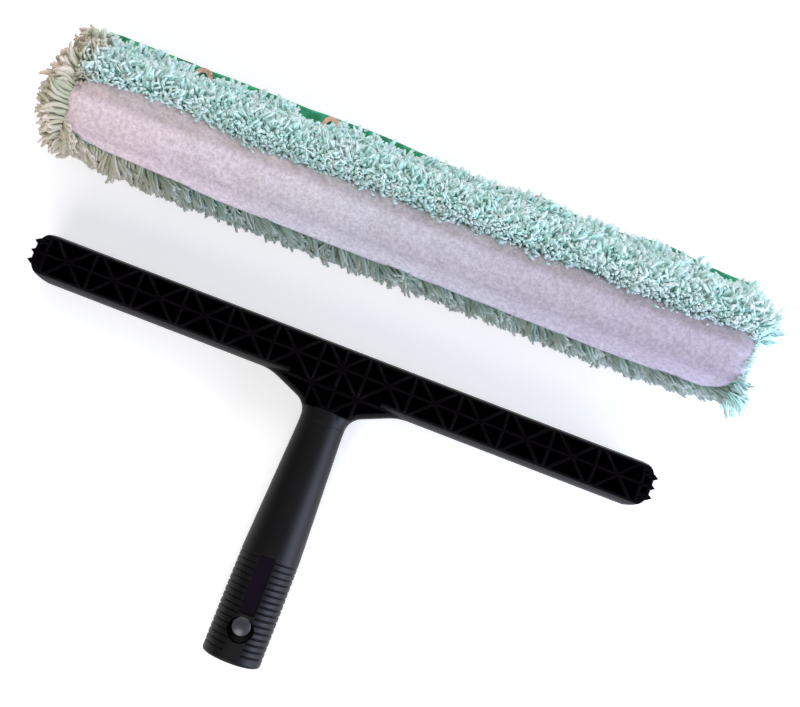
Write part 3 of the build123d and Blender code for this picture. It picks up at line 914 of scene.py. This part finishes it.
# Scrub band: felt over a thin pad, with a crease where it turns down over the front
felt_depth = 1.4 * MM
tuck = 3.5 * MM
swell_height, swell_wave = 0.35 * MM, 55 * MM
pucker_height, pucker_wave = 0.2 * MM, 16 * MM
rim_drop, rim_reach, rim_fade = 1.3 * MM, 2.5 * MM, 4 * MM
end_drop, end_reach = 2.5 * MM, 12 * MM
band_line = rounded_path(
    [
        (42.0 * MM, 47.6 * MM, 0),
        (30.0 * MM, 49.2 * MM, 6.0 * MM),
        (12.0 * MM, 45.2 * MM, 3.5 * MM),
        (3.0 * MM, 29.5 * MM, 0),
    ],
    step=0.6 * MM,
)
band_run = lengths_along(band_line)

# Edges of the band, in millimetres: places along the sleeve, and the edge's y there
top_edge_places = (-192.3, -191.0, -188.8, -182.5, -158, -133, -108, -90, 103, 125, 153, 176, 183, 189, 191.6)
top_edge_reaches = (17.5, 23.0, 29.2, 35.0, 38.0, 37.6, 36.0, 33.5, 33.8, 32.8, 33.1, 34.6, 35.6, 35.0, 31.0)
low_edge_places = (
    -192.3, -190.5, -183.5, -177.5, -165, -131, -101, -60, 0, 60, 118, 150, 175, 184, 189, 191.6
)
low_edge_reaches = (14.8, 12.6, 10.2, 8.4, 7.1, 6.1, 4.6, 4.5, 4.5, 4.3, 3.9, 4.3, 5.1, 7.4, 12.5, 17.0)
band_left, band_right = top_edge_places[0], top_edge_places[-1]


def band_edges(x):
    """The band's two edges at a place along the sleeve, as y from the sleeve's front."""
    top = np.interp(x / MM, top_edge_places, top_edge_reaches) * MM
    low = np.interp(x / MM, low_edge_places, low_edge_reaches) * MM
    return top, low


def band_place(u, v):
    """The band's face, softly uneven, with its rim turned down onto the pile."""
    x = (band_left + u * (band_right - band_left)) * MM
    top, low = band_edges(x)
    first, last = (float(np.interp(-edge, -band_line[:, 0], band_run)) for edge in (top + tuck, low))
    run = first + (1 - v) * (last - first)
    y, z = (float(np.interp(run, band_run, band_line[:, axis])) for axis in (0, 1))
    swell = swell_height * ripple(x, y, swell_wave, seed=21)
    pucker = pucker_height * ripple(x, y, pucker_wave, seed=22)
    from_end = min(x / MM - band_left, band_right - x / MM) * MM
    rim = min(from_end, run - first, last - run)
    turned_down = rim_drop * (1 - min(1, max(0, rim) / rim_reach)) ** 2
    dropped = end_drop * (1 - min(1, from_end / end_reach)) ** 2
    raised = (swell + pucker) * min(1, rim / rim_fade)
    return sleeve_place(x, y, z + raised - turned_down - dropped)


band_mesh = sheet_grid(300, 60, band_place)
band = add_piece("scrub_band_felt", band_mesh, band_felt, "sleeve", ["scrub_band"])
thicken(band, felt_depth, -1.0)

# Pile: tufts of a few fibres, each bent its own way, planted on the backing. The fibres differ by
# these lowest and highest shares.
turn_jitter = (0, 0.6)
splay = (0.1, 0.5)
combed_along = (0.15, 0.5)
combed_aside = (-0.15, 0.15)
twist_shares = (0.6, 1.2)
width_shares = (0.8, 1.2)
length_shares = (0.75, 1.1)


def grow_fibre(bm, root, lean, width, length, rings, sides, twist):
    """One fibre: a stalk drawn up through rings of (rise, swell, bend), its lean turned at each one."""
    foot = width * 0.55
    made = bmesh.ops.create_circle(bm, cap_ends=True, segments=sides, radius=foot)["verts"]
    bmesh.ops.translate(bm, verts=made, vec=root)
    faces = list({face for vertex in made for face in vertex.link_faces})
    for rise, swell, bend in rings:
        grown = bmesh.ops.extrude_face_region(bm, geom=faces)["geom"]
        bmesh.ops.delete(bm, geom=faces, context="FACES_KEEP_BOUNDARY")
        verts = [item for item in grown if isinstance(item, bmesh.types.BMVert)]
        faces = [item for item in grown if isinstance(item, bmesh.types.BMFace)]
        centre = sum((vertex.co for vertex in verts), Vector()) / len(verts)
        bmesh.ops.scale(bm, verts=verts, vec=(swell, swell, swell), space=Matrix.Translation(-centre))
        step = (lean * bend).to_3d() * length * rise + Vector((0, 0, length * rise))
        bmesh.ops.translate(bm, verts=verts, vec=step)
        lean = Matrix.Rotation(twist, 2) @ lean


def make_tuft(seed, spread, width, length, rings, converge=0.0, count=4, sides=3, twist=0.0):
    """A tuft as a mesh, whose points carry their height and their fibre's own shade."""
    fate = np.random.default_rng(seed)
    bm = bmesh.new()
    marks = bm.verts.layers.float_vector.new("fibre")
    for index in range(count):
        turn = math.tau * (index + fate.uniform(*turn_jitter)) / count
        out = Vector((math.cos(turn), math.sin(turn)))
        root = (out * spread * 0.5).to_3d()
        lean = out * fate.uniform(*splay) * (1 - converge) - out * converge * spread / length
        lean = lean + Vector((fate.uniform(*combed_along), fate.uniform(*combed_aside)))
        known = len(bm.verts)
        own_twist = twist * fate.choice([-1, 1]) * fate.uniform(*twist_shares)
        own_width = width * fate.uniform(*width_shares)
        own_length = length * fate.uniform(*length_shares)
        grow_fibre(bm, root, lean, own_width, own_length, rings, sides, own_twist)
        shade = fate.uniform(0, 1)
        bm.verts.ensure_lookup_table()
        for vertex in bm.verts[known:]:
            vertex[marks] = (min(1, vertex.co.z / length), shade, 0)
    bmesh.ops.recalc_face_normals(bm, faces=bm.faces)
    for face in bm.faces:
        face.smooth = True
    mesh = bpy.data.meshes.new("tuft")
    bm.to_mesh(mesh)
    bm.free()
    return mesh


def plant(name, kinds, roots, ways, bends, scales, material, replaces=()):
    """One piece of pile: a tuft at each root, turned its own way, and pressed flat on the floor."""
    floor_level, pressed, deepest = 0.4 * MM, 0.05, 4 * MM
    bm = bmesh.new()
    picks = random.integers(0, len(kinds), len(roots))
    for root, way, bend, scale, pick in zip(roots, ways, bends, scales, picks):
        out = Vector(way).normalized()
        aside = (Vector(bend) - Vector(bend).dot(out) * out).normalized()
        turn = Matrix((aside, out.cross(aside), out)).transposed().to_4x4()
        width = scale**0.5
        tuft = kinds[pick].copy()
        tuft.transform(Matrix.Translation(root) @ turn @ Matrix.Diagonal((width, width, scale, 1)))
        bm.from_mesh(tuft, face_normals=False, vertex_normals=False)
        bpy.data.meshes.remove(tuft)
    for vertex in bm.verts:
        if vertex.co.z < floor_level:
            vertex.co.z = floor_level + pressed * max(-deepest, vertex.co.z - floor_level)
    mesh = bpy.data.meshes.new(name)
    bm.to_mesh(mesh)
    bm.free()
    return place_piece(name, mesh, material, "sleeve", replaces)


def backing_at(x, run):
    """The backing at lengths round its section: places, outward normals and steps round it."""
    columns = (backing_line, backing_normals, backing_steps)
    (y, z), (ny, nz), (sy, sz) = (
        [np.interp(run, backing_lengths, column[:, axis]) for axis in (0, 1)] for column in columns
    )
    flat = np.zeros_like(y)
    return (
        np.stack([x, y + sleeve_front, z], axis=1),
        np.stack([flat, ny, nz], axis=1),
        np.stack([flat, sy, sz], axis=1),
    )


def scatter(a_range, b_range, spacing):
    """Jittered places on a grid over a rectangle."""
    grid = np.meshgrid(np.arange(*a_range, spacing), np.arange(*b_range, spacing))
    return [part.ravel() + random.uniform(-0.5, 0.5, part.size) * spacing for part in grid]


def scatter_within(x_range, run_range, spacing):
    """Jittered places on a rectangle of the backing, none past its sides: x, and the run round it."""
    x, run = scatter(x_range, run_range, spacing)
    return x.clip(*x_range), run.clip(*run_range)


def to_clump(a, b, size):
    """Steps from places on a surface to the middles of the clumps that they belong to, from -1 to 1."""
    warp, warp_wave = 0.35 * size, 3 * size
    warped = [part + warp * ripple(a, b, warp_wave, seed) for part, seed in ((a, 71), (b, 72))]
    return [2 * (0.5 - (part / size) % 1) for part in warped]


def run_where(test):
    """The first length along the backing's section where a test of (y, z) holds."""
    return backing_lengths[next(index for index, place in enumerate(backing_line) if test(*place))]


# Tufts of each kind of pile: soft yarn, pressed locks, and the ends' curls and wisps
soft_rings = ((0.38, 1.25, 0.4), (0.26, 1.15, 1.3), (0.2, 1.0, 2.1), (0.16, 0.65, 2.3))
lock_rings = ((0.4, 1.6, 0.2), (0.36, 1.0, 0.6), (0.24, 0.65, 1.1))
curl_rings = ((0.34, 1.3, 0.2), (0.28, 1.15, 0.9), (0.24, 0.95, 1.9), (0.14, 0.55, 2.6))
yarn_length = 7 * MM
yarn_size = {"spread": 2.4 * MM, "width": 1.3 * MM, "length": yarn_length, "rings": soft_rings}
yarn = [make_tuft(seed, **yarn_size, twist=0.8) for seed in range(1, 13)]
lock_size = {"spread": 2.6 * MM, "width": 1.15 * MM, "length": 12 * MM, "rings": lock_rings}
curl_size = {"spread": 3.0 * MM, "width": 1.5 * MM, "length": 10 * MM, "rings": curl_rings}
wisp_size = {"spread": 2.8 * MM, "width": 0.75 * MM, "length": 13 * MM, "rings": lock_rings}
lock = [make_tuft(seed, **lock_size, converge=0.7, count=5, twist=0.4) for seed in range(21, 27)]
curl = [make_tuft(seed, **curl_size, converge=0.3, sides=4, twist=0.5) for seed in range(31, 39)]
wisp = [make_tuft(seed, **wisp_size, converge=1.0, count=5) for seed in range(41, 47)]

# Where the pile is rooted: the upper one on the top face behind the band, the lower one from the
# front's shoulder down
upper_pile_end = 33 * MM
top_face_level = 40 * MM
shoulder = 17 * MM
front_level = 30 * MM
band_top_run = run_where(lambda y, z: z > top_face_level and y < upper_pile_end)
band_low_run = run_where(lambda y, z: y < shoulder and z > front_level)

# Where the pile bares the upper lip's edge, in millimetres along the sleeve: middle, half width and depth
bare_places = (-179, -130, -66, -36, -14, 10, 116, 146, 167, 189)
bare_widths = (3, 14, 13, 5, 8, 5, 7, 5, 9, 6)
bare_depths = (4, 8, 9, 4, 4, 3, 4, 4, 5, 9)

# How far the pile covers the right half's rings, in millimetres, and how uneven its fringe is
ring_cover, ring_cover_width = 2.5, 9 * MM
fringe_height, fringe_wave = 1.0 * MM, 9 * MM

# Both piles lean along the sleeve in its last stretch, in millimetres, towards the ends
end_start, end_span = 150, 35
right_pull, left_pull = 1.3, 0.5


def lip_reach(x):
    """How far from the sleeve's front the pile reaches over the upper lip."""
    bare = [d * np.exp(-((x / MM - b) / w) ** 4) for b, w, d in zip(bare_places, bare_widths, bare_depths)]
    hidden = sum(hump(x, place, ring_cover_width) for place in snap_places[2:])
    covered = (ring_cover * hidden - np.max(bare, axis=0)) * MM
    return tip - lip_cut(x) + covered + fringe_height * ripple(x, 0, fringe_wave, seed=61)


def add_upper_pile(name, x_range):
    """Pile between the band and the upper lip: swirled, over the band's edge and out over the lip."""
    band_gap, band_rise, band_fade = 3.1 * MM, 3.2 * MM, 3 * MM
    band_press, band_comb, band_short = 0.4, 0.5, 0.2
    swirl_wave, swirl_turn, swirl_scatter = 30 * MM, math.pi * 1.4, 0.9
    clump, clump_pull = 6 * MM, 0.3
    out_start, low_start, out_fade = 43 * MM, 48 * MM, 4 * MM
    out_rise, out_sink, out_follow = 0.35, 0.2, 0.8
    aside_scatter, rise_scatter, bend_scatter = 0.35, 0.2, 0.3
    tilts, heights, reaches = (0, 0.35), (0.75, 1.1), (0.8, 1.05)
    x, run = scatter_within(x_range, (0, band_top_run), spacing=2.0 * MM)
    places, normals, steps = backing_at(x, run)
    y = places[:, 1] - sleeve_front
    keep = y > band_edges(x)[0] + band_gap
    x, run, y, places, normals, steps = (part[keep] for part in (x, run, y, places, normals, steps))
    swirl = swirl_turn * ripple(x, run, swirl_wave, seed=41) + swirl_scatter * random.normal(0, 1, len(x))
    lean = np.zeros_like(places)
    lean[:, 0] = np.cos(swirl)
    lean += np.sin(swirl)[:, None] * steps
    near_band = hump(y - band_edges(x)[0], band_rise, band_fade)[:, None]
    lean = lean * (1 - band_press * near_band) + band_comb * near_band * steps
    lean[:, 0] += right_pull * ramp(x / MM, end_start, end_span)
    lean[:, 0] -= left_pull * ramp(-x / MM, end_start, end_span)
    pull_x, pull_run = to_clump(x, run, clump)
    tilt = random.uniform(*tilts, len(x))[:, None]
    ways = normals + lean * tilt + clump_pull * pull_run[:, None] * steps
    ways[:, 0] += clump_pull * pull_x
    scales = random.uniform(*heights, len(x)) * (1 - band_short * near_band[:, 0])
    out = ramp(y, out_start, out_fade)[:, None]
    rise = out_rise - out_sink * ramp(y, low_start, out_fade)
    aside = random.normal(0, aside_scatter, len(x)) + out_follow * lean[:, 0].clip(-0.3, 1)
    over = np.stack([aside, np.ones_like(x), rise], axis=1)
    over[:, 2] += random.normal(0, rise_scatter, len(x))
    ways = ways * (1 - out) + over * out
    share = (ways / np.linalg.norm(ways, axis=1)[:, None])[:, 1].clip(0.5, 1)
    reach = (lip_reach(x) - y) / (yarn_length * share) * random.uniform(*reaches, len(x))
    scales = scales * (1 - out[:, 0]) + reach.clip(0.5, 1.8) * out[:, 0]
    bends = lean + random.normal(0, bend_scatter, lean.shape)
    return plant(name, yarn, places, ways, bends, scales, mint_pile)


def add_lower_pile(name, x_range, run_range, kinds, length):
    """Pile under the band, combed down and along in locks, and pressed flat on the table."""
    band_overlap = 2.1 * MM
    lip_fade, lip_press, lip_comb = 9 * MM, 0.6, 0.8
    swirl_wave, swirl_turn, swirl_scatter = 24 * MM, 0.9, 0.25
    clump, clump_pull = 8 * MM, 0.4
    short_start, short_span, short_share = 160, 25, 0.22
    tilts, heights = (0.8, 1.3), (0.8, 1.1)
    x, run = scatter_within(x_range, run_range, spacing=2.1 * MM)
    places, normals, steps = backing_at(x, run)
    rim = np.interp(-band_edges(x)[1], -band_line[:, 0], band_line[:, 1])
    keep = places[:, 2] < rim - band_overlap
    x, run, places, normals, steps = (part[keep] for part in (x, run, places, normals, steps))
    swirl = swirl_turn + swirl_turn * ripple(x, run, swirl_wave, seed=51)
    swirl = swirl + swirl_scatter * random.normal(0, 1, len(x))
    lean = steps * np.cos(swirl)[:, None]
    lean[:, 0] += np.sin(swirl)
    near_lip = hump(last_run - run, 0, lip_fade)[:, None]
    lean = lean * (1 - lip_press * near_lip) + lip_comb * near_lip * steps
    lean[:, 0] += right_pull * ramp(x / MM, end_start, end_span)
    pull_x, pull_run = to_clump(x, run, clump)
    tilt = random.uniform(*tilts, len(x))[:, None]
    ways = normals + lean * tilt + clump_pull * pull_run[:, None] * steps
    ways[:, 0] += clump_pull * pull_x
    shorter = short_share * ramp(np.abs(x) / MM, short_start, short_span)
    scales = length * random.uniform(*heights, len(x)) * (1 - shorter)
    return plant(name, kinds, places, ways, lean, scales, shade_pile)


def add_end_pile(name, side, kinds, node, length):
    """Pile that closes one end: rooted all over the end's face and leaning outwards."""
    half_width, half_height = 21 * MM, 20 * MM
    y_range, z_range = (6 * MM, 67 * MM), (6 * MM, 46 * MM)
    lips_from, lips_to, half_lips = 46 * MM, (60 - 5 * side) * MM, 8 * MM
    dome_height, lips_back = 4 * MM, 2 * MM
    squareness, face_edge, past_face = 4, 1.05, 1.2
    clump, clump_pull, outward, heights = 9 * MM, 0.35, 0.5, (0.8, 1.1)
    way_scatter, along_scatter, bend_scatter = 0.13, 0.3, 0.5
    y, z = scatter(y_range, z_range, spacing=2.3 * MM)
    off_y = (y - pile_width / 2) / half_width
    off_z = (z - sleeve_middle) / half_height
    face = np.abs(off_y) ** squareness + np.abs(off_z) ** squareness < face_edge
    lips = (y > lips_from) & (y < lips_to) & (np.abs(z - sleeve_middle) < half_lips)
    keep = face | lips
    y, z, off_y, off_z, lips = (part[keep] for part in (y, z, off_y, off_z, lips))
    off = np.sqrt(off_y**2 + off_z**2)
    dome = dome_height * (1 - np.clip(off, 0, 1) ** 2)
    x = side * (half_lining + np.where(lips, -lips_back, dome - MM))
    places = np.stack([x, y + sleeve_front, z], axis=1)
    off_front = np.where(off_y > past_face, -0.4, off_y.clip(-1, 0.4))
    ways = np.stack([np.full_like(y, side), off_front * outward, off_z * outward], axis=1)
    pull_y, pull_z = to_clump(y, z, clump)
    pull = np.stack([np.zeros_like(y), pull_y, pull_z], axis=1)
    ways += random.normal(0, way_scatter, ways.shape) + clump_pull * pull
    bend_x = random.normal(0, along_scatter, len(y))
    bends = np.stack([bend_x, np.where(off_y > past_face, 0, off_y), off_z], axis=1)
    bends = bends + random.normal(0, bend_scatter, ways.shape)
    scales = length(y) * random.uniform(*heights, len(y))
    plant(name, kinds, places, ways, bends, scales, end_pile, [node])


def left_length(y):
    """Curls at the left end: long all over it, shorter at its front and a little longer far back."""
    front_end, front_fade, back_start, back_fade = 13, 8, 50, 14
    near, far = ramp(front_end - y / MM, 0, front_fade), ramp(y / MM, back_start, back_fade)
    return 1.4 + 0.12 * np.cos((y / MM - 32) / 7) - 0.45 * near + 0.1 * far


def right_length(y):
    """Wisps at the right end: long above the band and under it, and short across its middle."""
    high_start, low_end, past_start, fade = 35, 14, 54, 6
    high, past = (ramp(y / MM, start, fade) for start in (high_start, past_start))
    low = ramp(low_end - y / MM, 0, fade)
    return 0.35 + 0.85 * np.maximum(high, 0.85 * low) - 0.6 * past


third = 2 * half_lining / 3
half_way = (band_low_run + last_run) / 2
for index in range(3):
    span = (-half_lining + index * third, -half_lining + (index + 1) * third)
    upper = add_upper_pile(f"upper_pile_{index + 1}", span)
    front = add_lower_pile(f"front_pile_{index + 1}", span, (band_low_run, half_way), lock, length=1.02)
    add_lower_pile(f"under_pile_{index + 1}", span, (half_way, last_run), yarn, length=1.18)
    if index == 0:
        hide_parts("upper_pile")
        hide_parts("lower_pile")
add_end_pile("left_end_curls", -1, curl, "left_end_pile", left_length)
add_end_pile("right_end_wisps", 1, wisp, "right_end_pile", right_length)
for tuft in yarn + lock + curl + wisp:
    bpy.data.meshes.remove(tuft)

# View settings
bpy.context.scene.view_settings.view_transform = "Standard"
